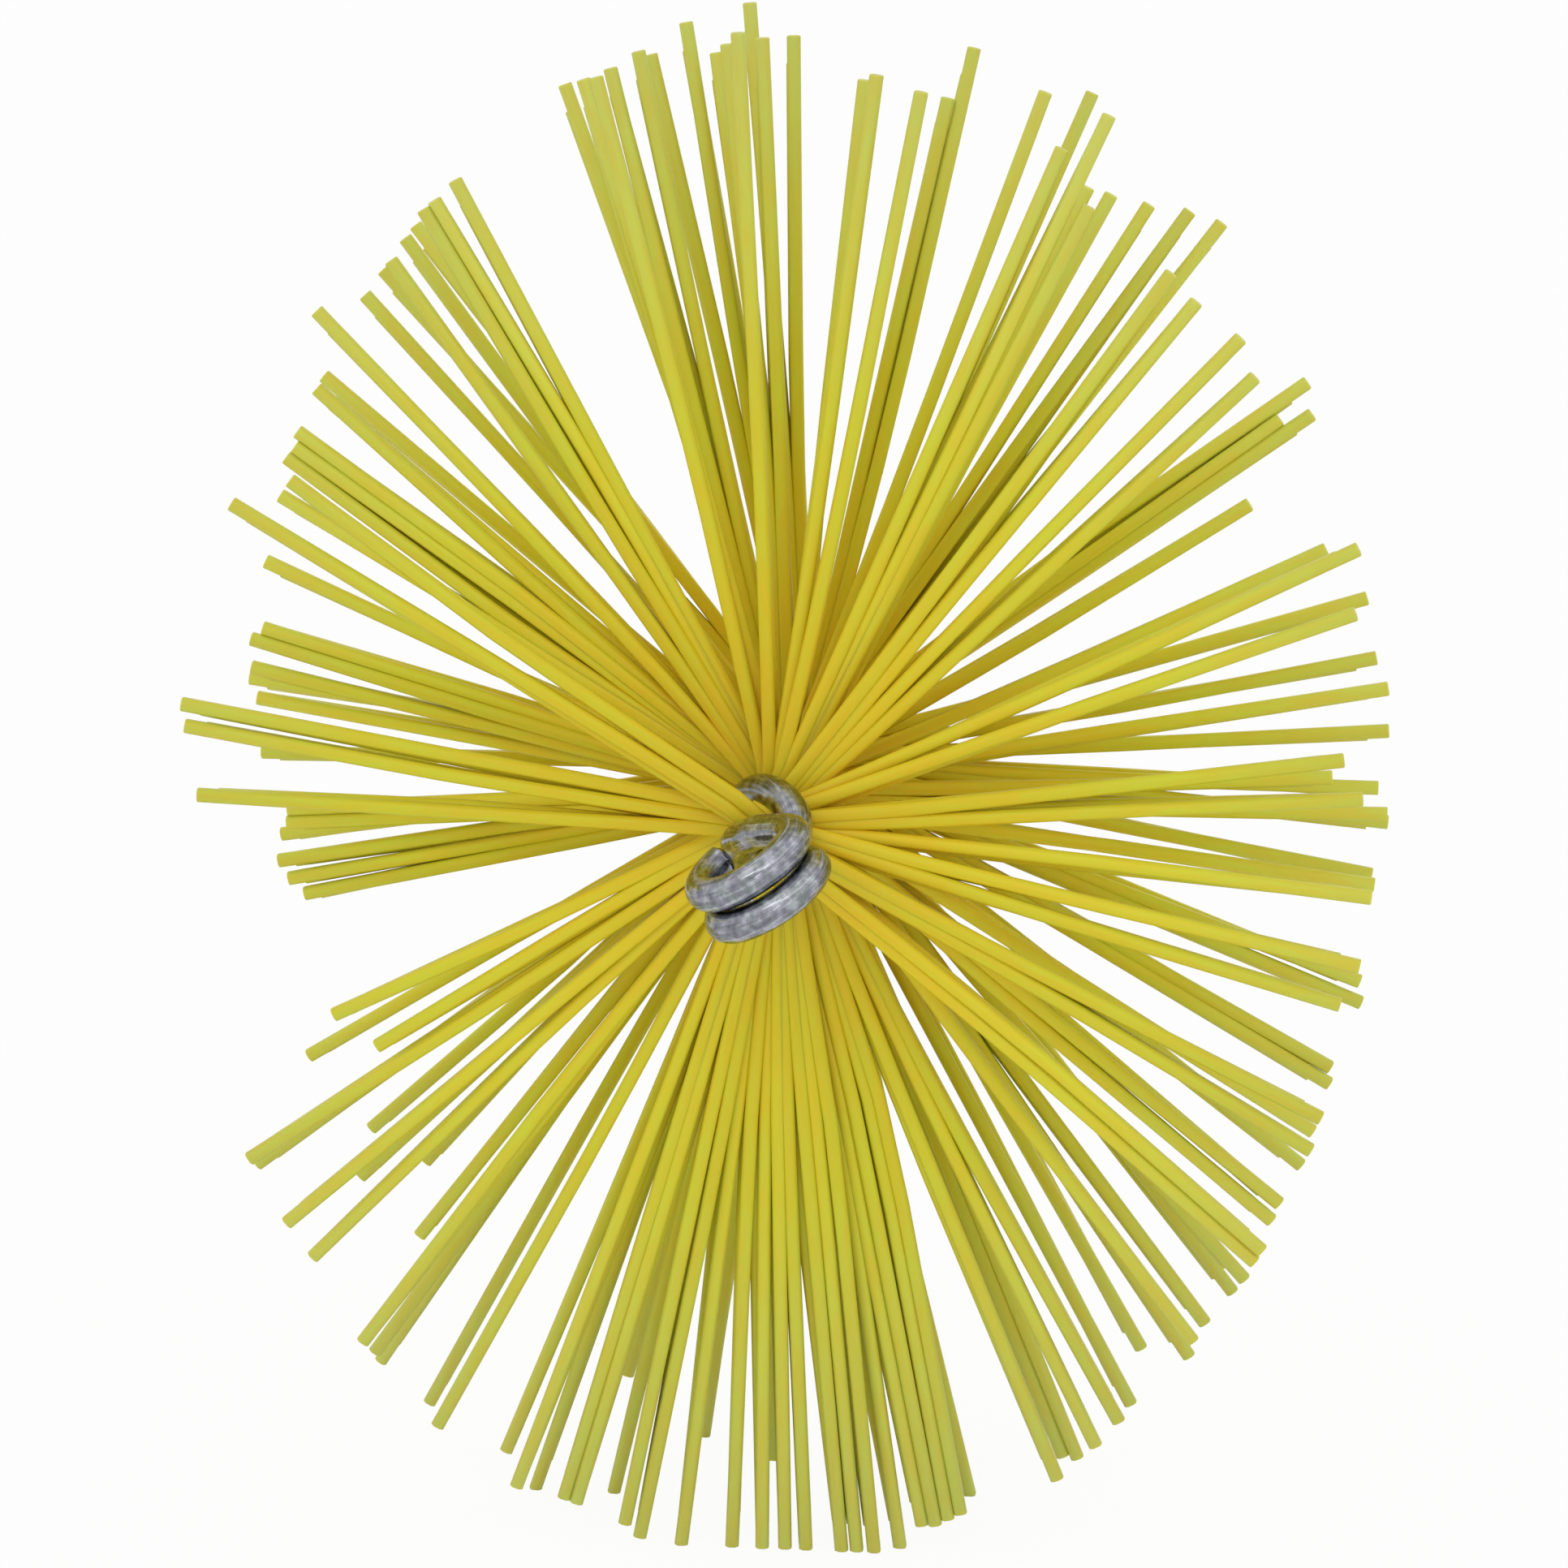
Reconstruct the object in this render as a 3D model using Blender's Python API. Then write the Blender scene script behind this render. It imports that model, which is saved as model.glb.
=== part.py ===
"""Chimney sweep brush: two twisted wires with an eye at each end, and rows of stiff plastic strands.

Metres, +Z up. The stem runs along Y, with the eye that is seen at -Y. The brush stands on its lowest
strands, and the origin is on the ground, below the middle of the brush.
"""
import math

import bmesh
import bpy
from mathutils import Vector

# Strands: width across their row, depth along the stem
STRAND_WIDTH = 0.002
STRAND_DEPTH = 0.0018
SIDE_GAP = 0.0001
ROW_GAP = 0.00025
FLARE_REACH = 0.055
STRAND_SPACING = STRAND_WIDTH + SIDE_GAP
ROW_PITCH = STRAND_DEPTH + ROW_GAP

# Gripped middle of the strands
CORE_HALF_THICKNESS = 0.0021
CORE_HALF_WIDTH = 0.0046

# Wires and their eyes
WIRE_RADIUS = 0.0027
WIRE_CLEARANCE = 0.00035
SETTLE_LENGTH = 0.008
FREE_TWIST_LENGTH = 0.0127
EYE_NECK_LENGTH = 0.002
EYE_RADIUS = 0.0084
EYE_BEND_LENGTH = 0.0145

# Outline of the fan of strands, at the reach where a tip's share is one, and how far the fan's
# wider right side sets the stem to the left
FAN_HALF_HEIGHT = 0.1296
FAN_HALF_WIDTH = 0.0998
STEM_SIDE = -0.0019

# Point from which the tips are listed, and the depth of the stem that it faces
SIGHT_DISTANCE = 0.9
SIGHT_AIM_DEPTH = -0.0215

# Counts, angles and shares
row_count = 30
rows_per_half_turn = 10
turn_per_row = math.radians(18)
first_row_turn = math.radians(-46)
sight_turn = math.radians(6)
sight_rise = math.radians(15)
eye_end_turn = math.radians(148)
eye_tilt = math.radians(8)
eye_steps = 15
bend_steps = 7
lean_share = 0.2
slot_share = 0.85
backing_share = 0.965
spread_rounds = 200
stem_height_share = 0.97
stand_share = 0.035

# The fan's middle lies one row nearer to the eye that is seen than the stem's middle
FAN_DEPTH = -ROW_PITCH
HALF_LENGTH = row_count * ROW_PITCH / 2
FIRST_ROW_DEPTH = FAN_DEPTH - HALF_LENGTH + ROW_PITCH / 2
CORE_WIRE_OFFSET = CORE_HALF_THICKNESS + WIRE_CLEARANCE + WIRE_RADIUS
FREE_WIRE_OFFSET = WIRE_RADIUS + WIRE_CLEARANCE / 2
EYE_START = HALF_LENGTH + FREE_TWIST_LENGTH
EYE_CENTRE = EYE_START + EYE_NECK_LENGTH + EYE_RADIUS
STEM_HEIGHT = stem_height_share * FAN_HALF_HEIGHT
STEM_PLACE = Vector((STEM_SIDE, 0, STEM_HEIGHT))

# Tips as seen from the sight point: degrees anticlockwise from the right, and share of the fan.
# One list for each third of the stem, front to back.
tip_shares = (
    (
        (1.2, 0.941), (4.3, 0.913), (15.0, 0.962), (19.4, 0.990), (35.1, 0.939), (38.3, 0.950),
        (43.2, 0.925), (46.5, 0.922), (56.2, 0.903), (58.2, 1.015), (60.8, 0.941), (75.3, 0.922),
        (79.9, 0.927), (93.5, 0.967), (107.5, 0.954), (123.2, 0.936), (125.9, 0.935),
        (126.8, 0.935), (131.9, 0.920), (139.7, 0.962), (152.0, 0.880), (156.2, 0.952),
        (171.8, 0.961), (173.3, 0.951), (178.4, 0.925), (199.2, 0.749), (204.0, 0.698),
        (206.7, 0.943), (212.7, 0.929), (216.3, 0.918), (224.5, 0.925), (234.3, 0.926),
        (243.4, 0.925), (248.2, 0.907), (249.3, 0.905), (254.6, 0.904), (256.3, 0.915),
        (260.5, 0.911), (265.6, 0.892), (268.7, 0.914), (271.0, 0.908), (273.1, 0.927),
        (276.7, 0.906), (278.2, 0.912), (279.9, 0.918), (282.5, 0.921), (285.4, 0.906),
        (286.3, 0.910), (287.7, 0.910), (288.8, 0.910), (298.9, 0.935), (303.5, 0.931),
        (306.4, 0.928), (315.9, 0.932), (324.5, 0.946), (325.3, 0.946), (334.3, 0.952),
        (336.9, 0.950), (345.5, 0.934), (348.8, 0.954), (354.0, 0.960),
    ),
    (
        (0.1, 0.980), (3.0, 0.893), (9.1, 0.994), (20.4, 0.941), (26.8, 0.851), (54.9, 0.936),
        (57.1, 0.922), (64.1, 0.991), (81.0, 0.918), (91.2, 0.959), (94.6, 0.954), (103.1, 0.967),
        (106.0, 0.958), (108.7, 0.958), (129.7, 0.926), (135.6, 0.918), (144.3, 0.903),
        (148.4, 0.900), (149.3, 0.893), (150.4, 0.898), (153.5, 0.885), (159.0, 0.874),
        (164.4, 0.852), (165.2, 0.866), (167.7, 0.858), (170.0, 0.841), (179.7, 0.780),
        (180.3, 0.782), (184.0, 0.797), (185.7, 0.783), (187.3, 0.760), (201.6, 0.802),
        (207.4, 0.935), (213.8, 0.798), (222.3, 0.770), (225.9, 0.922), (241.2, 0.893),
        (245.2, 0.904), (252.8, 0.900), (269.8, 0.794), (290.4, 0.905), (300.4, 0.914),
        (301.4, 0.927), (308.1, 0.923), (314.8, 0.941), (317.7, 0.931), (322.7, 0.945),
        (327.9, 0.939), (329.3, 0.939), (335.7, 0.945), (354.9, 0.963),
    ),
    (
        (2.0, 0.966), (6.1, 0.988), (11.4, 0.982), (15.8, 0.985), (30.2, 0.991), (31.0, 0.945),
        (31.9, 1.006), (45.6, 1.022), (48.3, 0.998), (51.5, 0.962), (60.3, 1.025), (71.4, 0.998),
        (72.6, 0.927), (88.2, 0.962), (92.3, 1.003), (95.7, 0.945), (98.3, 0.988), (102.0, 0.959),
        (110.5, 0.962), (128.3, 0.928), (133.0, 0.920), (143.1, 0.903), (168.6, 0.858),
        (174.5, 0.825), (181.6, 0.790), (210.8, 0.752), (217.3, 0.703), (226.8, 0.922),
        (232.6, 0.911), (251.1, 0.729), (261.5, 0.776), (289.8, 0.808), (311.7, 0.881),
        (321.3, 0.939), (332.9, 0.946), (339.6, 0.947), (340.7, 0.942), (346.2, 0.966),
        (347.7, 0.958), (355.6, 0.958), (359.5, 0.981),
    ),
)


def make_material(name, colour, roughness, metallic):
    material = bpy.data.materials.new(name)
    material.use_nodes = True
    shader = material.node_tree.nodes["Principled BSDF"]
    shader.inputs["Base Color"].default_value = (*colour, 1)
    shader.inputs["Roughness"].default_value = roughness
    shader.inputs["Metallic"].default_value = metallic
    return material


def radial(turn):
    """Unit vector square to the stem, turned from +X towards +Z."""
    return Vector((math.cos(turn), 0, math.sin(turn)))


def row_depth(row):
    return FIRST_ROW_DEPTH + row * ROW_PITCH


def row_turn(row):
    return first_row_turn + row * turn_per_row


def depth_at(row, reach):
    """Depth of a row's strands at a reach: the rows open a little towards their tips."""
    return row_depth(row) * (1 + lean_share * reach / FAN_HALF_HEIGHT)


def sighted(turn, share, depth):
    """Where the sight line of a listed tip crosses the plane at a depth, from the stem's axis."""
    right = Vector((math.cos(sight_turn), math.sin(sight_turn), 0))
    back = Vector((math.sin(sight_turn), -math.cos(sight_turn), 0)) * math.cos(sight_rise)
    back.z = math.sin(sight_rise)
    up = back.cross(right)
    start = Vector((0, SIGHT_AIM_DEPTH, 0)) + back * SIGHT_DISTANCE
    line = right * FAN_HALF_WIDTH * share * math.cos(turn) + up * FAN_HALF_HEIGHT * share * math.sin(turn)
    line -= back * SIGHT_DISTANCE
    place = start + line * (depth - start.y) / line.y
    place.y = 0
    return place


def place_tip(row, turn, share):
    """Where a tip lies that a row holds and that is seen at a turn and a share of the fan."""
    reach = sighted(turn, share, row_depth(row)).length
    return sighted(turn, share, depth_at(row, reach))


def front_row(third, turn, share):
    """The first of the two rows of a third between which a tip's direction lies."""
    first = third * rows_per_half_turn
    place = sighted(turn, share, row_depth(first + (rows_per_half_turn - 1) / 2))
    steps = math.floor((math.atan2(place.z, place.x) - row_turn(first)) / turn_per_row)
    return min(first + steps % rows_per_half_turn, row_count - 2)


def gather_strands():
    """Each row's strands at both ends: turns off the row's own at the flare and at the tip, and reach.

    Each listed tip has a strand of its own, and a shorter one behind it in the next row.
    """
    rows = [([], []) for _ in range(row_count)]
    for third, tips in enumerate(tip_shares):
        for degrees, share in tips:
            turn = math.radians(degrees)
            front = front_row(third, turn, share)
            for row, reach_share in ((front, share), (front + 1, share * backing_share)):
                place = place_tip(row, turn, reach_share)
                off = math.atan2(place.z, place.x) - row_turn(row)
                end = round(off / math.pi) % 2
                rows[row][end].append((math.remainder(off - end * math.pi, math.tau), place.length))
    return [[settle(bunch) for bunch in ends] for ends in rows]


def settle(bunch):
    """Strands of one bunch side by side, with room for each at the flare and at the tip."""
    bunch = sorted(bunch)
    offs = [off for off, _ in bunch]
    reaches = [reach for _, reach in bunch]
    pairs = list(zip(reaches, reaches[1:]))
    at_flare = spread(offs, [STRAND_SPACING / FLARE_REACH for _ in pairs])
    at_tip = spread(offs, [STRAND_SPACING / min(pair) for pair in pairs])
    return list(zip(at_flare, at_tip, reaches))


def spread(offs, gaps):
    """Push neighbouring directions apart until each pair has its least gap, keeping their order."""
    offs = list(offs)
    for _ in range(spread_rounds):
        for place, gap in enumerate(gaps):
            lack = max(gap - (offs[place + 1] - offs[place]), 0)
            offs[place] -= lack / 2
            offs[place + 1] += lack / 2
    return offs


def grow(bm, face, centre, across, row_across):
    """Extrude a strand's end face to full size at a new place, and return the new end face."""
    middle = face.calc_center_median()
    grown = bmesh.ops.extrude_discrete_faces(bm, faces=[face])["faces"][0]
    for vert in grown.verts:
        offset = vert.co - middle
        side = math.copysign(STRAND_WIDTH / 2, offset.dot(row_across))
        depth = math.copysign(STRAND_DEPTH / 2, offset.y)
        vert.co = centre + across * side + Vector((0, depth, 0))
    return grown


def make_strand(bm, root_face, row, facing, strand):
    """One strand from its root on the core to its tip, full size from the flare on."""
    flare_off, tip_off, reach = strand
    flare = radial(facing + flare_off) * FLARE_REACH + Vector((0, depth_at(row, FLARE_REACH), 0))
    tip = radial(facing + tip_off) * reach + Vector((0, depth_at(row, reach), 0))
    line = (tip - flare).normalized()
    across = Vector((-line.z, 0, line.x)).normalized()
    row_across = radial(facing + math.pi / 2)
    flared = grow(bm, root_face, flare, across, row_across)
    ended = grow(bm, flared, tip, across, row_across)
    if tip.z < -STEM_HEIGHT + stand_share * FAN_HALF_HEIGHT:
        for vert in ended.verts:
            vert.co += line * ((-STEM_HEIGHT - vert.co.z) / line.z)


def core_outline(facing, counts):
    """Corners of a row's core, and the pairs of corners that each strand starts from."""
    corners = []
    slots = ([], [])
    for end, count in enumerate(counts):
        out = radial(facing + end * math.pi)
        across = radial(facing + end * math.pi + math.pi / 2)
        edge = out * CORE_HALF_WIDTH
        corners.append(edge - across * CORE_HALF_THICKNESS)
        pitch = 2 * CORE_HALF_THICKNESS / max(count, 1)
        for slot in range(count):
            middle = edge + across * (pitch * (slot + 0.5) - CORE_HALF_THICKNESS)
            half = across * (pitch * slot_share / 2)
            slots[end].append(len(corners))
            corners += [middle - half, middle + half]
        corners.append(edge + across * CORE_HALF_THICKNESS)
    return corners, slots


def make_row(row, ends, material):
    """One row: its slice of the gripped core with the strands that leave it at both ends."""
    facing = row_turn(row)
    bm = bmesh.new()
    corners, slots = core_outline(facing, [len(bunch) for bunch in ends])
    front = Vector((0, row_depth(row) - STRAND_DEPTH / 2, 0))
    verts = [bm.verts.new(corner + front) for corner in corners]
    outline = bm.faces.new(verts)
    starts = [[bm.edges.get((verts[first], verts[first + 1])) for first in firsts] for firsts in slots]
    back = bmesh.ops.extrude_face_region(bm, geom=[outline])["geom"]
    for vert in (item for item in back if isinstance(item, bmesh.types.BMVert)):
        vert.co.y += STRAND_DEPTH
    for end, bunch in enumerate(ends):
        for edge, strand in zip(starts[end], bunch):
            root_face = next(face for face in edge.link_faces if len(face.verts) == 4)
            make_strand(bm, root_face, row, facing + end * math.pi, strand)
    bmesh.ops.recalc_face_normals(bm, faces=bm.faces[:])
    bmesh.ops.translate(bm, verts=bm.verts[:], vec=STEM_PLACE)
    mesh = bpy.data.meshes.new(f"bristle_row_{row + 1:02d}")
    bm.to_mesh(mesh)
    bm.free()
    mesh.materials.append(material)
    piece = bpy.data.objects.new(mesh.name, mesh)
    bpy.context.collection.objects.link(piece)
    return piece


def smooth_step(share):
    share = min(max(share, 0), 1)
    return share * share * (3 - 2 * share)


def wire_turn(depth):
    """Direction of the first wire from the stem's axis: square to the bunch between the wires."""
    return row_turn((depth - FIRST_ROW_DEPTH) / ROW_PITCH) + math.pi / 2


def stem_points(side):
    """Centre line of one wire along the twisted stem, front to back."""
    points = []
    steps = 2 * math.ceil(EYE_START / ROW_PITCH)
    for step in range(steps + 1):
        depth = EYE_START * (2 * step / steps - 1)
        settled = smooth_step((abs(depth - FAN_DEPTH) - HALF_LENGTH) / SETTLE_LENGTH)
        offset = CORE_WIRE_OFFSET + (FREE_WIRE_OFFSET - CORE_WIRE_OFFSET) * settled
        shift = eye_entry(abs(depth)) * eye_direction(depth)
        points.append(Vector((0, depth, 0)) + radial(wire_turn(depth)) * side * offset + shift)
    return points


def eye_direction(depth):
    """Direction across the eye at this end of the stem, square to its two wires."""
    end = math.copysign(1, depth)
    return radial(wire_turn(end * EYE_START) + end * math.pi / 2)


def eye_entry(reach):
    """How far the wires have left the axis where they run into the eye."""
    share = (reach - EYE_CENTRE) / EYE_BEND_LENGTH + 1
    return 0 if share < 0 else -EYE_RADIUS * (1 - math.cos(math.pi * share)) / 2


def eye_points(side, end):
    """Centre line of one wire round an eye, from the stem out and back."""
    across = eye_direction(end)
    square = radial(wire_turn(end * EYE_START))
    out = Vector((0, end, 0)) * math.cos(eye_tilt) + square * math.sin(eye_tilt)
    start = Vector((0, end * EYE_START, 0)) + square * side * FREE_WIRE_OFFSET
    points = []
    for step in range(1, bend_steps):
        run = (EYE_CENTRE - EYE_START) * step / bend_steps
        points.append(start + out * run + across * eye_entry(EYE_START + run))
    for step in range(eye_steps + 1):
        turn = -math.pi / 2 + (eye_end_turn + math.pi / 2) * step / eye_steps
        ring = out * math.cos(turn) + across * math.sin(turn)
        points.append(start + out * (EYE_CENTRE - EYE_START) + ring * EYE_RADIUS)
    return points


def make_wire(name, side, material):
    points = eye_points(side, -1)[::-1] + stem_points(side) + eye_points(side, 1)
    curve = bpy.data.curves.new(name, "CURVE")
    curve.dimensions = "3D"
    curve.bevel_depth = WIRE_RADIUS
    curve.bevel_resolution = 2
    curve.use_fill_caps = True
    spline = curve.splines.new("POLY")
    spline.points.add(len(points) - 1)
    for point, place in zip(spline.points, points):
        point.co = (*place, 1)
    curve.materials.append(material)
    piece = bpy.data.objects.new(name, curve)
    piece.location = STEM_PLACE
    bpy.context.collection.objects.link(piece)
    return piece


def main():
    for item in list(bpy.data.objects):
        bpy.data.objects.remove(item)
    zinc = make_material("galvanised wire", (0.33, 0.34, 0.36), 0.42, 1.0)
    plastic = make_material("yellow plastic", (0.75, 0.65, 0.036), 0.4, 0.0)
    make_wire("wire_a", 1, zinc)
    make_wire("wire_b", -1, zinc)
    for row, ends in enumerate(gather_strands()):
        make_row(row, ends, plastic)


main()
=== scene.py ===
import math
import random

import bmesh
import bpy
from mathutils import Matrix, Vector


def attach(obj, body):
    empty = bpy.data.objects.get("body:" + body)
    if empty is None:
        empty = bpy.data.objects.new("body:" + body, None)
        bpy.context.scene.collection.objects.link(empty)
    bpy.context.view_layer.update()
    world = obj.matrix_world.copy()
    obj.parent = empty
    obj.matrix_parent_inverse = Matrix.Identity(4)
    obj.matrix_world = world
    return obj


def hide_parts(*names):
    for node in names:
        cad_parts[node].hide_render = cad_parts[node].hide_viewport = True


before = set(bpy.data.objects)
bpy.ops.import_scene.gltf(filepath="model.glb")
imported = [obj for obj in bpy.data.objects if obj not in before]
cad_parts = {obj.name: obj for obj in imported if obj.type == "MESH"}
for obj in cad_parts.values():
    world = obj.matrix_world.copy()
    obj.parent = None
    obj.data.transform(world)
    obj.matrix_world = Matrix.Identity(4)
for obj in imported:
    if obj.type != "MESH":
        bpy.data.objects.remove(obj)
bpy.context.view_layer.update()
print("frame loaded:", len(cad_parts), "nodes")

# The brush as the CAD has it, in metres: the stem runs along Y, the strands fan out across it.
# It stands on its lowest strands, with the stem at standShare of the fan's half height.
brush = {
    "stemSide": -0.0019,
    "standShare": 0.97,
    "rows": 30,
    "rowsPerHalfTurn": 10,
    "turnPerRow": math.radians(18),
    "firstTurn": math.radians(-46),
    "rowPitch": 0.00205,
    "fanDepth": -0.00205,
    "lean": 0.2,
    "fanHalfHeight": 0.1296,
    "fanHalfWidth": 0.0998,
}
stemHeight = brush["standShare"] * brush["fanHalfHeight"]
stemPlace = Vector((brush["stemSide"], 0, stemHeight))
stemLine = Vector((0, 1, 0))
upward = Vector((0, 0, 1))
fanLength = brush["rows"] * brush["rowPitch"]
firstDepth = brush["fanDepth"] + (brush["rowPitch"] - fanLength) / 2

# Where the photograph was taken from, and where it shows the middle of the fan
sight = {
    "turn": math.radians(6),
    "rise": math.radians(15),
    "distance": 0.9,
    "aimDepth": -0.0215,
    "sensorWidth": 36,
    "imageSize": 1932,
    "fanPixels": 1000,
    "middleAcross": 955,
    "middleDown": 1005,
}


def sightAxes():
    right = Vector((math.cos(sight["turn"]), math.sin(sight["turn"]), 0))
    back = Vector((math.sin(sight["turn"]), -math.cos(sight["turn"]), 0)) * math.cos(sight["rise"])
    back.z = math.sin(sight["rise"])
    return right, back, back.cross(right)


def placeCamera():
    back = sightAxes()[1]
    camera = bpy.data.objects.new("camera", bpy.data.cameras.new("camera"))
    bpy.context.collection.objects.link(camera)
    aim = Vector((brush["stemSide"], sight["aimDepth"], stemHeight))
    camera.location = aim + back * sight["distance"]
    camera.rotation_euler = (-back).to_track_quat("-Z", "Y").to_euler()
    size = sight["imageSize"]
    width = sight["sensorWidth"]
    camera.data.sensor_width = width
    camera.data.lens = width * sight["distance"] * sight["fanPixels"] / brush["fanHalfHeight"] / size
    camera.data.shift_x = (size / 2 - sight["middleAcross"]) / size
    camera.data.shift_y = (sight["middleDown"] - size / 2) / size
    bpy.context.scene.camera = camera


placeCamera()
print("camera placed")

# Tips as seen from the camera: degrees anticlockwise from the right, and share of the fan,
# for the front, middle and back third of the stem
tipShares = (
    (
        (1.2, 0.941), (4.3, 0.913), (15.0, 0.962), (19.4, 0.990), (35.1, 0.939), (38.3, 0.950),
        (43.2, 0.925), (46.5, 0.922), (56.2, 0.903), (58.2, 1.015), (60.8, 0.941), (75.3, 0.922),
        (79.9, 0.927), (93.5, 0.967), (107.5, 0.954), (123.2, 0.936), (125.9, 0.935),
        (126.8, 0.935), (131.9, 0.920), (139.7, 0.962), (152.0, 0.880), (156.2, 0.952),
        (171.8, 0.961), (173.3, 0.951), (178.4, 0.925), (199.2, 0.749), (204.0, 0.698),
        (206.7, 0.943), (212.7, 0.929), (216.3, 0.918), (224.5, 0.925), (234.3, 0.926),
        (243.4, 0.925), (248.2, 0.907), (249.3, 0.905), (254.6, 0.904), (256.3, 0.915),
        (260.5, 0.911), (265.6, 0.892), (268.7, 0.914), (271.0, 0.908), (273.1, 0.927),
        (276.7, 0.906), (278.2, 0.912), (279.9, 0.918), (282.5, 0.921), (285.4, 0.906),
        (286.3, 0.910), (287.7, 0.910), (288.8, 0.910), (298.9, 0.935), (303.5, 0.931),
        (306.4, 0.928), (315.9, 0.932), (324.5, 0.946), (325.3, 0.946), (334.3, 0.952),
        (336.9, 0.950), (345.5, 0.934), (348.8, 0.954), (354.0, 0.960),
    ),
    (
        (0.1, 0.980), (3.0, 0.893), (9.1, 0.994), (20.4, 0.941), (26.8, 0.851), (54.9, 0.936),
        (57.1, 0.922), (64.1, 0.991), (81.0, 0.918), (91.2, 0.959), (94.6, 0.954), (103.1, 0.967),
        (106.0, 0.958), (108.7, 0.958), (129.7, 0.926), (135.6, 0.918), (144.3, 0.903),
        (148.4, 0.900), (149.3, 0.893), (150.4, 0.898), (153.5, 0.885), (159.0, 0.874),
        (164.4, 0.852), (165.2, 0.866), (167.7, 0.858), (170.0, 0.841), (179.7, 0.780),
        (180.3, 0.782), (184.0, 0.797), (185.7, 0.783), (187.3, 0.760), (201.6, 0.802),
        (207.4, 0.935), (213.8, 0.798), (222.3, 0.770), (225.9, 0.922), (241.2, 0.893),
        (245.2, 0.904), (252.8, 0.900), (269.8, 0.794), (290.4, 0.905), (300.4, 0.914),
        (301.4, 0.927), (308.1, 0.923), (314.8, 0.941), (317.7, 0.931), (322.7, 0.945),
        (327.9, 0.939), (329.3, 0.939), (335.7, 0.945), (354.9, 0.963),
    ),
    (
        (2.0, 0.966), (6.1, 0.988), (11.4, 0.982), (15.8, 0.985), (30.2, 0.991), (31.0, 0.945),
        (31.9, 1.006), (45.6, 1.022), (48.3, 0.998), (51.5, 0.962), (60.3, 1.025), (71.4, 0.998),
        (72.6, 0.927), (88.2, 0.962), (92.3, 1.003), (95.7, 0.945), (98.3, 0.988), (102.0, 0.959),
        (110.5, 0.962), (128.3, 0.928), (133.0, 0.920), (143.1, 0.903), (168.6, 0.858),
        (174.5, 0.825), (181.6, 0.790), (210.8, 0.752), (217.3, 0.703), (226.8, 0.922),
        (232.6, 0.911), (251.1, 0.729), (261.5, 0.776), (289.8, 0.808), (311.7, 0.881),
        (321.3, 0.939), (332.9, 0.946), (339.6, 0.947), (340.7, 0.942), (346.2, 0.966),
        (347.7, 0.958), (355.6, 0.958), (359.5, 0.981),
    ),
)


def radial(turn):
    return Vector((math.cos(turn), 0, math.sin(turn)))


def rowDepth(row):
    return firstDepth + row * brush["rowPitch"]


def rowTurn(row):
    return brush["firstTurn"] + row * brush["turnPerRow"]


def depthAt(row, reach):
    return rowDepth(row) * (1 + brush["lean"] * reach / brush["fanHalfHeight"])


# The place across the stem, at a given depth, that the camera sees in a direction of the fan
def sighted(turn, share, depth):
    right, back, up = sightAxes()
    start = Vector((0, sight["aimDepth"], 0)) + back * sight["distance"]
    line = right * brush["fanHalfWidth"] * share * math.cos(turn)
    line += up * brush["fanHalfHeight"] * share * math.sin(turn) - back * sight["distance"]
    place = start + line * (depth - start.y) / line.y
    place.y = 0
    return place


def placeTip(row, turn, share):
    reach = sighted(turn, share, rowDepth(row)).length
    return sighted(turn, share, depthAt(row, reach))


# The row of a third of the stem whose bunch starts just before the tip's direction. The tip's
# shorter second strand stands in the next row.
def frontRow(third, turn, share):
    first = third * brush["rowsPerHalfTurn"]
    place = sighted(turn, share, rowDepth(first + (brush["rowsPerHalfTurn"] - 1) / 2))
    steps = math.floor((math.atan2(place.z, place.x) - rowTurn(first)) / brush["turnPerRow"])
    return min(first + steps % brush["rowsPerHalfTurn"], brush["rows"] - 2)


# Plastic strands with rounded corners, cut square, their flat side facing along the stem. The
# steps are shares of a strand's length, and backing is the second strand's share of the first.
strand = {
    "seed": 5,
    "halfWidth": 0.0011,
    "halfDepth": 0.0009,
    "cornerRound": 0.0005,
    "spacing": 0.0022,
    "flareReach": 0.055,
    "backing": 0.965,
    "spreadRounds": 200,
    "gripHalfWidth": 0.0021,
    "gripReach": 0.0044,
    "outerRoot": 0.001,
    "cutRound": 0.00014,
    "standHeight": 0.0016,
    "sway": 0.0006,
    "drift": 0.0004,
    "soften": 0.007,
    "steps": (0, 0.09, 0.28, 0.43, 0.58, 1),
}


# Pushes neighbours apart until each gap is wide enough
def spread(offs, gaps):
    offs = list(offs)
    for _ in range(strand["spreadRounds"]):
        for place, gap in enumerate(gaps):
            lack = max(gap - (offs[place + 1] - offs[place]), 0)
            offs[place] -= lack / 2
            offs[place + 1] += lack / 2
    return offs


def settle(bunch):
    bunch = sorted(bunch)
    offs = [off for off, _ in bunch]
    reaches = [reach for _, reach in bunch]
    pairs = list(zip(reaches, reaches[1:]))
    atFlare = spread(offs, [strand["spacing"] / strand["flareReach"] for _ in pairs])
    atTip = spread(offs, [strand["spacing"] / min(pair) for pair in pairs])
    return list(zip(atFlare, atTip, reaches))


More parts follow.
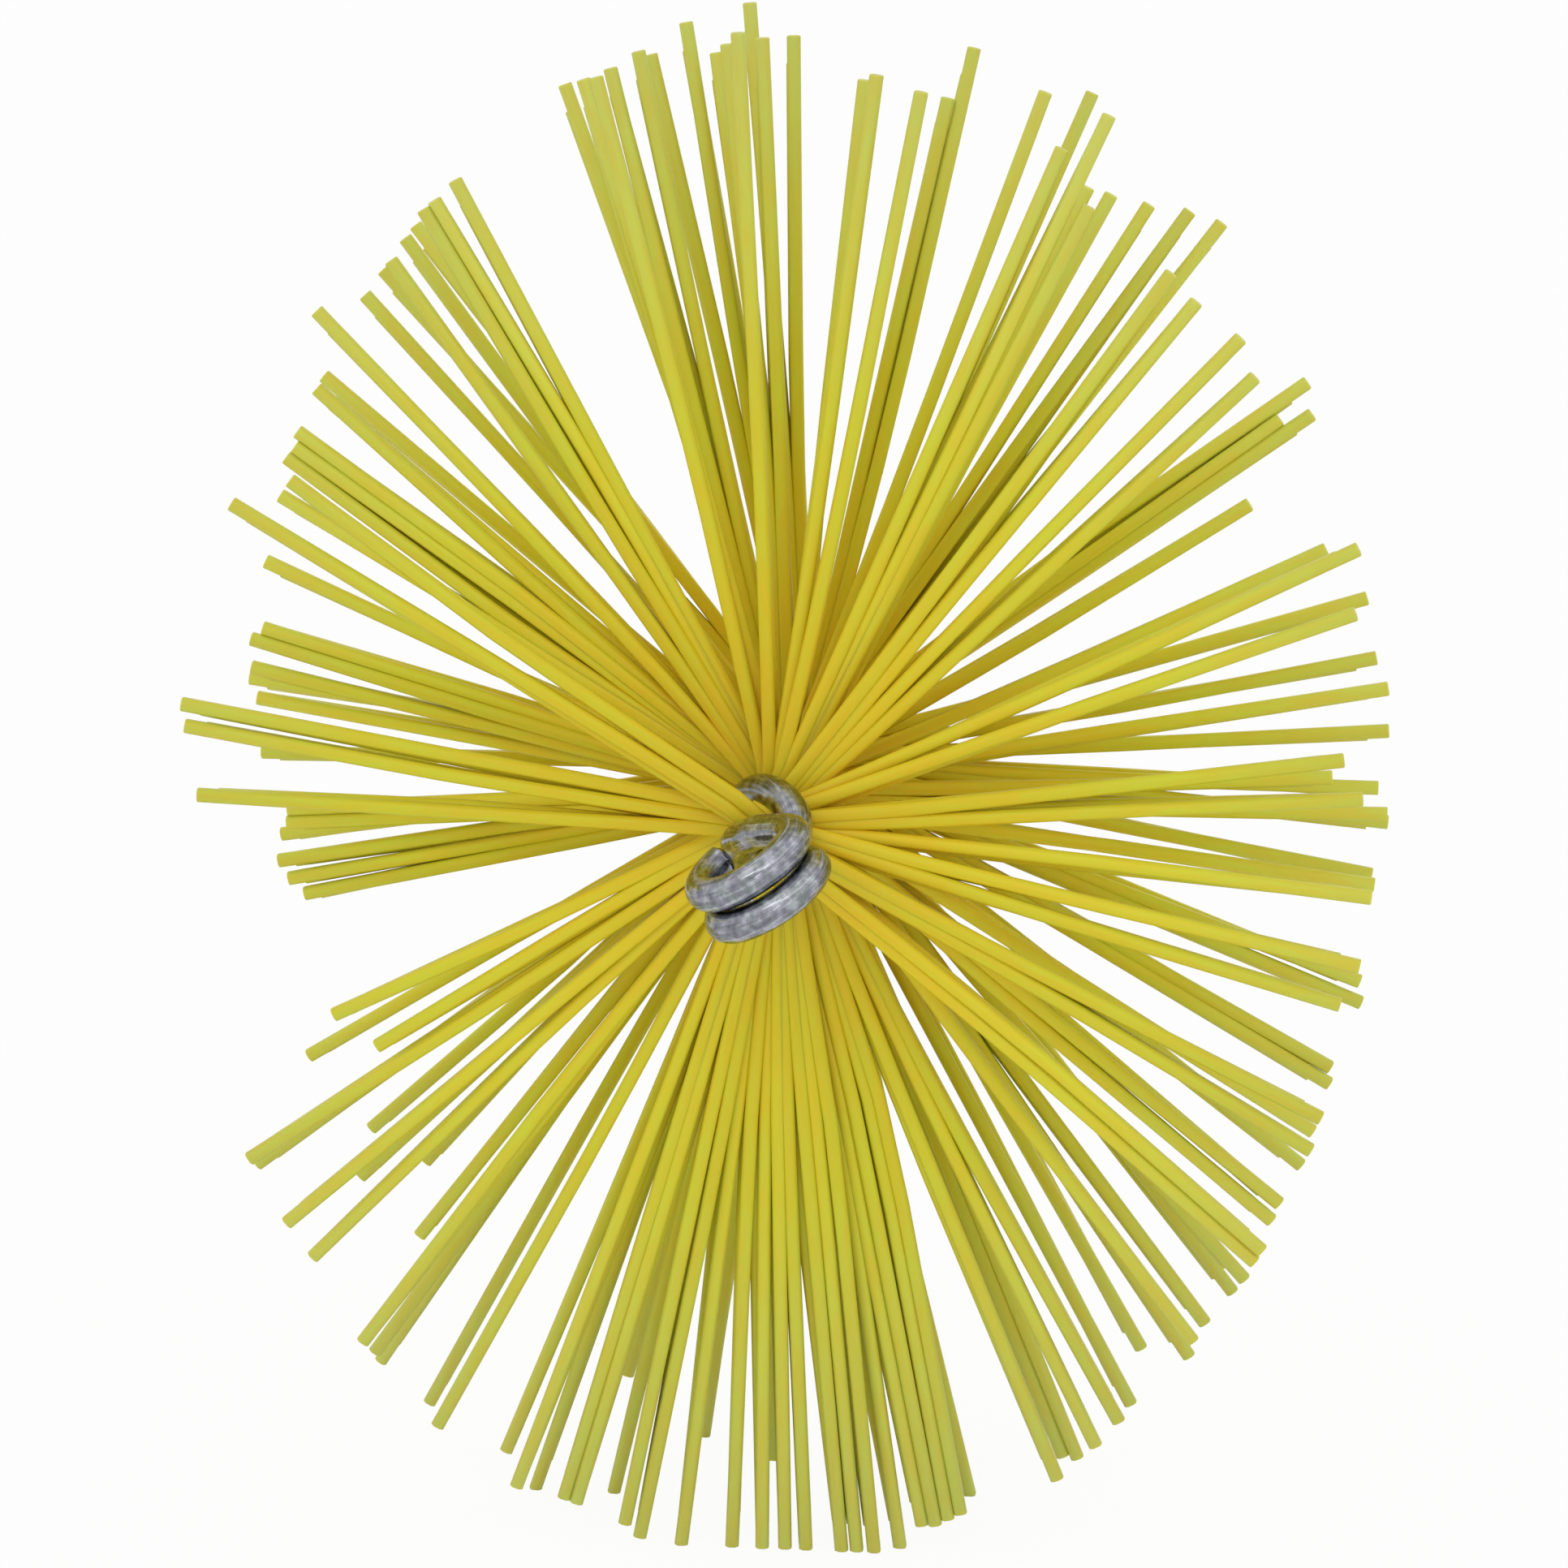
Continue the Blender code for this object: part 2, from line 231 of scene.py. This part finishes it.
# Each row has two bunches, at opposite ends of its direction
def gatherStrands():
    rows = [([], []) for _ in range(brush["rows"])]
    for third, tips in enumerate(tipShares):
        for degrees, share in tips:
            turn = math.radians(degrees)
            front = frontRow(third, turn, share)
            for row, reachShare in ((front, share), (front + 1, share * strand["backing"])):
                place = placeTip(row, turn, reachShare)
                off = math.atan2(place.z, place.x) - rowTurn(row)
                end = round(off / math.pi) % 2
                off = math.remainder(off - end * math.pi, math.tau)
                rows[row][end].append((off, place.length))
    return [[settle(bunch) for bunch in ends] for ends in rows]


def strandSection(bm, ring):
    half = strand["halfWidth"]
    shape = ring @ Matrix.Diagonal((1, strand["halfDepth"] / half, 1, 1))
    square = bmesh.ops.create_grid(bm, x_segments=1, y_segments=1, size=half, matrix=shape)
    corners = bmesh.ops.bevel(
        bm,
        geom=square["verts"],
        offset=strand["cornerRound"],
        segments=1,
        profile=0.5,
        affect="VERTICES",
        material=-1,
    )
    return corners["verts"][0].link_faces[0]


def wireSection(bm, ring):
    disc = bmesh.ops.create_circle(
        bm,
        cap_ends=True,
        radius=wire["radius"],
        segments=wire["sides"],
        matrix=ring,
    )
    return disc["verts"][0].link_faces[0]


# Sweeps a section along a path and closes both ends. The last edge is rounded a little, and
# the first where it shows. Each corner notes its place on the straightened piece, for the
# patterns that run along it.
def sweep(bm, places, section, flatSide, size, cutRound, firstShows, tone, start):
    straight = bm.verts.layers.float_vector["straightPlace"]
    shade = bm.verts.layers.float["strandTone"]
    ahead = places[1:] + places[-1:]
    behind = places[:1] + places[:-1]
    lines = [(after - before).normalized() for before, after in zip(behind, ahead)]
    stops = [(place, line, 1) for place, line in zip(places, lines)]
    narrow = 1 - cutRound / size
    stops[-1] = (places[-1] - lines[-1] * cutRound, lines[-1], 1)
    stops.append((places[-1], lines[-1], narrow))
    if firstShows:
        stops[0] = (places[0] + lines[0] * cutRound, lines[0], 1)
        stops.insert(0, (places[0], lines[0], narrow))
    facing = (flatSide - lines[0] * flatSide.dot(lines[0])).normalized()
    turn = Matrix((facing.cross(lines[0]), facing, lines[0])).transposed().to_quaternion()
    along = start
    face = None
    for i, (place, line, share) in enumerate(stops):
        if face:
            turn = stops[i - 1][1].rotation_difference(line) @ turn
            along += (place - stops[i - 1][0]).length
        ring = Matrix.Translation(place) @ turn.to_matrix().to_4x4() @ Matrix.Scale(share, 4)
        if face:
            inner = face
            grown = bmesh.ops.extrude_face_region(bm, geom=[inner])["geom"]
            face = next(item for item in grown if isinstance(item, bmesh.types.BMFace))
            if i > 1:
                bmesh.ops.delete(bm, geom=[inner], context="FACES_ONLY")
            bmesh.ops.transform(bm, matrix=ring @ lastRing.inverted(), verts=face.verts)
        else:
            face = section(bm, ring)
        lastRing = ring
        back = ring.inverted()
        for vert in face.verts:
            local = back @ vert.co
            vert[straight] = (local.x, local.y, along)
            vert[shade] = tone
    return face


def newPiece():
    bm = bmesh.new()
    bm.verts.layers.float_vector.new("straightPlace")
    bm.verts.layers.float.new("strandTone")
    return bm


# The long faces are shaded smooth, and the cut ends flat
def finishPiece(bm, name, material, node):
    bmesh.ops.recalc_face_normals(bm, faces=bm.faces[:])
    bmesh.ops.translate(bm, vec=stemPlace, verts=bm.verts[:])
    for face in bm.faces:
        face.smooth = len(face.verts) == 4
    mesh = bpy.data.meshes.new(name)
    bm.to_mesh(mesh)
    bm.free()
    mesh.materials.append(material)
    piece = bpy.data.objects.new(name, mesh)
    bpy.context.collection.objects.link(piece)
    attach(piece, "root")
    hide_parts(node)


def newMaterial(name):
    material = bpy.data.materials.new(name)
    material.use_nodes = True
    tree = material.node_tree
    return material, tree, tree.nodes["Principled BSDF"]


# Adds a shader node and sets its inputs, each to a value or to another node's output
def addNode(tree, kind, inputs, **settings):
    node = tree.nodes.new("ShaderNode" + kind)
    for name, value in settings.items():
        setattr(node, name, value)
    for key, value in inputs.items():
        if isinstance(value, bpy.types.NodeSocket):
            tree.links.new(value, node.inputs[key])
        else:
            node.inputs[key].default_value = value
    return node


def calculate(tree, operation, first, second, kind="Math"):
    return addNode(tree, kind, {0: first, 1: second}, operation=operation).outputs[0]


# A Mix node has its share at input 0, its colours at inputs 6 and 7, and its colour output is 2
def multiplyColours(tree, first, second):
    inputs = {0: 1.0, 6: first, 7: second}
    return addNode(tree, "Mix", inputs, data_type="RGBA", blend_type="MULTIPLY").outputs[2]


def colourSteps(tree, share, steps):
    ramp = addNode(tree, "ValToRGB", {0: share})
    marks = ramp.color_ramp.elements
    while len(marks) < len(steps):
        marks.new(0.5)
    for mark, (place, colour) in zip(marks, steps):
        mark.position = place
        mark.color = (*colour, 1)
    return ramp.outputs[0]


def noise(tree, place, scale, detail, roughness=0.5):
    inputs = {"Vector": place, "Scale": scale, "Detail": detail, "Roughness": roughness}
    return addNode(tree, "TexNoise", inputs).outputs[0]


# A pattern that runs along a strand or wire: grain is its fineness across, across and along
def drawnNoise(tree, grain, detail, roughness=0.5):
    straight = addNode(tree, "Attribute", {}, attribute_name="straightPlace").outputs["Vector"]
    drawn = addNode(tree, "Mapping", {"Vector": straight, "Scale": grain}).outputs[0]
    return noise(tree, drawn, 1.0, detail, roughness)


def addSurface(tree, shader, look, colour, roughShare, relief):
    tree.links.new(colour, shader.inputs["Base Color"])
    fromLow, fromHigh = look["roughNoise"]
    low, high = look["roughness"]
    rough = {
        "Value": roughShare,
        "From Min": fromLow,
        "From Max": fromHigh,
        "To Min": low,
        "To Max": high,
    }
    tree.links.new(addNode(tree, "MapRange", rough).outputs[0], shader.inputs["Roughness"])
    bump = {"Strength": look["reliefStrength"], "Distance": look["reliefDepth"], "Height": relief}
    tree.links.new(addNode(tree, "Bump", bump).outputs[0], shader.inputs["Normal"])


# Near the stem the yellow is painted brighter and more orange, painted light that lifts and tints
# the shade between the packed strands there; outwards it turns paler and greener to the tips. Each
# list of colours holds shares of a range, with the colour at each.
plastic = {
    "fanReach": 0.13,
    # brighter, more orange near the stem: painted light over the shade of the packed strands
    "reachColoursWithPaintedCoreLight": (
        (0.04, (0.85, 0.63, 0.025)),
        (0.22, (0.81, 0.66, 0.025)),
        (0.5, (0.755, 0.7, 0.042)),
        (0.95, (0.67, 0.675, 0.13)),
    ),
    "strandTones": ((0, (0.94, 0.95, 0.92)), (1, (1.04, 1.03, 1.04))),
    "clouds": ((0.35, (1.03, 0.95, 0.85)), (0.65, (0.96, 1.03, 1.1))),
    "cloudGrain": (700, 700, 110),
    "lineGrain": (1600, 1600, 60),
    "detail": 2.0,
    "roughNoise": (0.3, 0.7),
    "roughness": (0.36, 0.5),
    "reliefStrength": 0.15,
    "reliefDepth": 0.00002,
    "gloss": 0.24,
    "glow": 0.4,
    "glowColour": (1, 0.9, 0.3),
    "glowDepth": 0.0007,
}


def makePlastic():
    material, tree, shader = newMaterial("yellowPlastic")
    place = addNode(tree, "TexCoord", {}).outputs["Object"]
    fromStem = calculate(tree, "SUBTRACT", place, stemPlace, "VectorMath")
    flat = calculate(tree, "MULTIPLY", fromStem, (1, 0, 1), "VectorMath")
    reach = addNode(tree, "VectorMath", {0: flat}, operation="LENGTH").outputs["Value"]
    share = addNode(tree, "MapRange", {"Value": reach, "From Max": plastic["fanReach"]}).outputs[0]
    # painted light: the colour by reach is brighter and more orange near the stem, lifting the shade
    # between the packed strands
    colour = colourSteps(tree, share, plastic["reachColoursWithPaintedCoreLight"])
    tone = addNode(tree, "Attribute", {}, attribute_name="strandTone").outputs["Fac"]
    colour = multiplyColours(tree, colour, colourSteps(tree, tone, plastic["strandTones"]))
    lines = drawnNoise(tree, plastic["lineGrain"], plastic["detail"])
    cloudy = drawnNoise(tree, plastic["cloudGrain"], plastic["detail"])
    colour = multiplyColours(tree, colour, colourSteps(tree, cloudy, plastic["clouds"]))
    addSurface(tree, shader, plastic, colour, lines, lines)
    shader.inputs["Specular IOR Level"].default_value = plastic["gloss"]
    shader.inputs["Subsurface Weight"].default_value = plastic["glow"]
    shader.inputs["Subsurface Radius"].default_value = plastic["glowColour"]
    shader.inputs["Subsurface Scale"].default_value = plastic["glowDepth"]
    return material


yellowPlastic = makePlastic()


def stands(place):
    return place.z < -stemHeight + strand["standHeight"]


def placeAlong(stops, lengths, run):
    for start, end, length in zip(stops, stops[1:], lengths):
        if run <= length or end is stops[-1]:
            return start.lerp(end, min(run / length, 1))
        run -= length


# From the grip through the flare to the tip, with soft bends. A strand that reaches the ground
# ends on it.
def strandPath(row, facing, slot, flareOff, tipOff, reach, sway, drift):
    across = radial(facing + math.pi / 2) * slot
    outermost = row in (0, brush["rows"] - 1)
    root = across - radial(facing) * strand["outerRoot" if outermost else "gripReach"]
    root.y = rowDepth(row)
    mouth = across + radial(facing) * strand["gripReach"]
    mouth.y = rowDepth(row)
    flare = radial(facing + flareOff) * strand["flareReach"]
    flare.y = depthAt(row, strand["flareReach"])
    tip = radial(facing + tipOff) * reach
    tip.y = depthAt(row, reach)
    if stands(tip):
        tip = flare + (tip - flare) * ((-stemHeight - flare.z) / (tip.z - flare.z))
    stops = (root, mouth, flare, tip)
    lengths = [(b - a).length for a, b in zip(stops, stops[1:])]
    whole = sum(lengths)
    side = (tip - root).cross(stemLine).normalized()
    places = []
    for step in strand["steps"]:
        run = step * whole
        soften = min(strand["soften"], run / 2, whole - run)
        near, here, far = (placeAlong(stops, lengths, run + off) for off in (-soften, 0, soften))
        place = (near + here * 2 + far) / 4
        bend = math.sin(math.pi * step)
        places.append(place + (side * sway[0] + stemLine * sway[1]) * bend + stemLine * drift * step)
    return places


def makeRow(row, ends, luck):
    bm = newPiece()
    for end, bunch in enumerate(ends):
        facing = rowTurn(row) + end * math.pi
        pitch = 2 * strand["gripHalfWidth"] / max(len(bunch), 1)
        for number, (flareOff, tipOff, reach) in enumerate(bunch):
            slot = pitch * (number + 0.5) - strand["gripHalfWidth"]
            sway = [luck.uniform(-1, 1) * strand["sway"] for _ in range(2)]
            drift = luck.uniform(-1, 1) * strand["drift"]
            places = strandPath(row, facing, slot, flareOff, tipOff, reach, sway, drift)
            tip = sweep(
                bm,
                places,
                strandSection,
                stemLine,
                strand["halfWidth"],
                strand["cutRound"],
                firstShows=False,
                tone=luck.random(),
                start=luck.random(),
            )
            if stands(places[-1]):
                for vert in tip.verts:
                    vert.co.z = -stemHeight
    for vert in bm.verts:
        vert.co.z = max(vert.co.z, -stemHeight)
    node = f"bristle_row_{row + 1:02d}"
    finishPiece(bm, f"strands_{row + 1:02d}", yellowPlastic, node)


luck = random.Random(strand["seed"])
strandRows = gatherStrands()
for row, ends in enumerate(strandRows):
    makeRow(row, ends, luck)
print("strands made:", sum(len(bunch) for ends in strandRows for bunch in ends))

# Two twisted galvanised wires with an eye at each end. They lie apart where they grip the
# strands and settle against each other beyond.
wire = {
    "radius": 0.0027,
    "sides": 24,
    "clearance": 0.00035,
    "coreHalfThickness": 0.0021,
    "settleLength": 0.008,
    "freeTwist": 0.0127,
    "neckLength": 0.002,
    "eyeRadius": 0.0084,
    "eyeBend": 0.0145,
    "eyeEnd": math.radians(148),
    "eyeTilt": math.radians(8),
    "cutRound": 0.0007,
    "stemSteps": 150,
    "bendSteps": 16,
    "eyeSteps": 44,
}
eyeStart = fanLength / 2 + wire["freeTwist"]
eyeCentre = eyeStart + wire["neckLength"] + wire["eyeRadius"]
gripOffset = wire["coreHalfThickness"] + wire["clearance"] + wire["radius"]
freeOffset = wire["radius"] + wire["clearance"] / 2


def wireTurn(depth):
    return rowTurn((depth - firstDepth) / brush["rowPitch"]) + math.pi / 2


def eyeDirection(depth):
    end = math.copysign(1, depth)
    return radial(wireTurn(end * eyeStart) + end * math.pi / 2)


# How far the wires have left the stem's middle on their way to the side of the eye's ring
def eyeEntry(reach):
    share = (reach - eyeCentre) / wire["eyeBend"] + 1
    return 0 if share < 0 else -wire["eyeRadius"] * (1 - math.cos(math.pi * share)) / 2


def stemPlaces(side):
    places = []
    for step in range(wire["stemSteps"] + 1):
        depth = eyeStart * (2 * step / wire["stemSteps"] - 1)
        beyond = abs(depth - brush["fanDepth"]) - fanLength / 2
        settled = min(max(beyond / wire["settleLength"], 0), 1)
        settled = settled * settled * (3 - 2 * settled)
        offset = gripOffset + (freeOffset - gripOffset) * settled
        shift = eyeDirection(depth) * eyeEntry(abs(depth))
        places.append(Vector((0, depth, 0)) + radial(wireTurn(depth)) * side * offset + shift)
    return places


def eyePlaces(side, end):
    across = eyeDirection(end)
    square = radial(wireTurn(end * eyeStart))
    out = Vector((0, end, 0)) * math.cos(wire["eyeTilt"]) + square * math.sin(wire["eyeTilt"])
    start = Vector((0, end * eyeStart, 0)) + square * side * freeOffset
    places = []
    for step in range(1, wire["bendSteps"]):
        run = (eyeCentre - eyeStart) * step / wire["bendSteps"]
        places.append(start + out * run + across * eyeEntry(eyeStart + run))
    for step in range(wire["eyeSteps"] + 1):
        turn = -math.pi / 2 + (wire["eyeEnd"] + math.pi / 2) * step / wire["eyeSteps"]
        ring = out * math.cos(turn) + across * math.sin(turn)
        places.append(start + out * (eyeCentre - eyeStart) + ring * wire["eyeRadius"])
    return places


# Zinc with fine draw lines and faint mottling, added up to one pattern
zinc = {
    "colours": (
        (0.34, (0.12, 0.12, 0.135)),
        (0.5, (0.28, 0.29, 0.305)),
        (0.66, (0.6, 0.615, 0.645)),
    ),
    "lineGrain": (1500, 1500, 90),
    "lineDetail": 4.0,
    "lineRoughness": 0.65,
    "mottleScale": 650.0,
    "mottleDetail": 3.0,
    "tint": ((0.35, (0.95, 1.0, 0.98)), (0.65, (1.0, 0.96, 1.06))),
    "tintScale": 420.0,
    "tintDetail": 1.0,
    "roughNoise": (0.35, 0.65),
    "roughness": (0.15, 0.3),
    "reliefStrength": 0.35,
    "reliefDepth": 0.0001,
}


def makeZinc():
    material, tree, shader = newMaterial("galvanisedWire")
    lines = drawnNoise(tree, zinc["lineGrain"], zinc["lineDetail"], zinc["lineRoughness"])
    place = addNode(tree, "TexCoord", {}).outputs["Object"]
    mottling = noise(tree, place, zinc["mottleScale"], zinc["mottleDetail"])
    both = calculate(tree, "ADD", lines, mottling)
    pattern = calculate(tree, "MULTIPLY", both, 0.5)
    tinting = noise(tree, place, zinc["tintScale"], zinc["tintDetail"])
    tint = colourSteps(tree, tinting, zinc["tint"])
    colour = multiplyColours(tree, colourSteps(tree, pattern, zinc["colours"]), tint)
    addSurface(tree, shader, zinc, colour, mottling, pattern)
    shader.inputs["Metallic"].default_value = 1
    return material


galvanisedWire = makeZinc()
for name, side in (("wire_a", 1), ("wire_b", -1)):
    bm = newPiece()
    sweep(
        bm,
        eyePlaces(side, -1)[::-1] + stemPlaces(side) + eyePlaces(side, 1),
        wireSection,
        upward,
        wire["radius"],
        wire["cutRound"],
        firstShows=True,
        tone=0.5,
        start=0,
    )
    finishPiece(bm, "twisted_" + name, galvanisedWire, name)
print("wires made")

# White ground and soft light. A lamp has its place, its width and height, and its power.
studio = {
    "floorSize": 8,
    "floorWhite": (0.95, 0.95, 0.95),
    "floorRoughness": 0.9,
    "floorShown": 0.93,
    "fill": 0.78,
    "white": (1, 1, 1, 1),
    "lamps": {
        "frontLight": ((0.17, -1.65, 0.57), (0.3, 0.3), 0.8),
        "keyLight": ((-0.15, -1.3, 1.15), (1.5, 0.14), 2.2),
    },
}


# The ground and the world look white to the camera and in reflections, and light the brush
# less strongly than that
def shownRays(tree):
    path = addNode(tree, "LightPath", {})
    shown = path.outputs["Is Camera Ray"]
    for kind in ("Is Glossy Ray", "Is Transmission Ray"):
        shown = calculate(tree, "MAXIMUM", shown, path.outputs[kind])
    return shown


def makeFloor():
    bm = bmesh.new()
    bmesh.ops.create_grid(bm, x_segments=1, y_segments=1, size=studio["floorSize"] / 2)
    mesh = bpy.data.meshes.new("floor")
    bm.to_mesh(mesh)
    bm.free()
    material, tree, shader = newMaterial("whiteGround")
    shader.inputs["Base Color"].default_value = (*studio["floorWhite"], 1)
    shader.inputs["Roughness"].default_value = studio["floorRoughness"]
    shown = calculate(tree, "MULTIPLY", shownRays(tree), studio["floorShown"])
    white = addNode(tree, "Emission", {"Color": studio["white"], "Strength": 1.0}).outputs[0]
    mixed = addNode(tree, "MixShader", {0: shown, 1: shader.outputs[0], 2: white}).outputs[0]
    tree.links.new(mixed, tree.nodes["Material Output"].inputs["Surface"])
    mesh.materials.append(material)
    floor = bpy.data.objects.new("floor", mesh)
    bpy.context.collection.objects.link(floor)


def makeWorld():
    world = bpy.data.worlds.new("softLight")
    world.use_nodes = True
    tree = world.node_tree
    tree.nodes.clear()
    fill, white = (
        addNode(tree, "Background", {"Color": studio["white"], "Strength": strength}).outputs[0]
        for strength in (studio["fill"], 1.0)
    )
    mixed = addNode(tree, "MixShader", {0: shownRays(tree), 1: fill, 2: white}).outputs[0]
    addNode(tree, "OutputWorld", {"Surface": mixed})
    bpy.context.scene.world = world


def addLamp(name, place, size, power):
    lamp = bpy.data.lights.new(name, "AREA")
    lamp.shape = "RECTANGLE"
    lamp.size, lamp.size_y = size
    lamp.energy = power
    holder = bpy.data.objects.new(name, lamp)
    bpy.context.collection.objects.link(holder)
    holder.location = place
    aim = Vector((0, 0, stemHeight))
    holder.rotation_euler = (aim - Vector(place)).to_track_quat("-Z", "Y").to_euler()


makeFloor()
makeWorld()
for name, lamp in studio["lamps"].items():
    addLamp(name, *lamp)
bpy.context.scene.view_settings.view_transform = "Standard"
print("studio made")
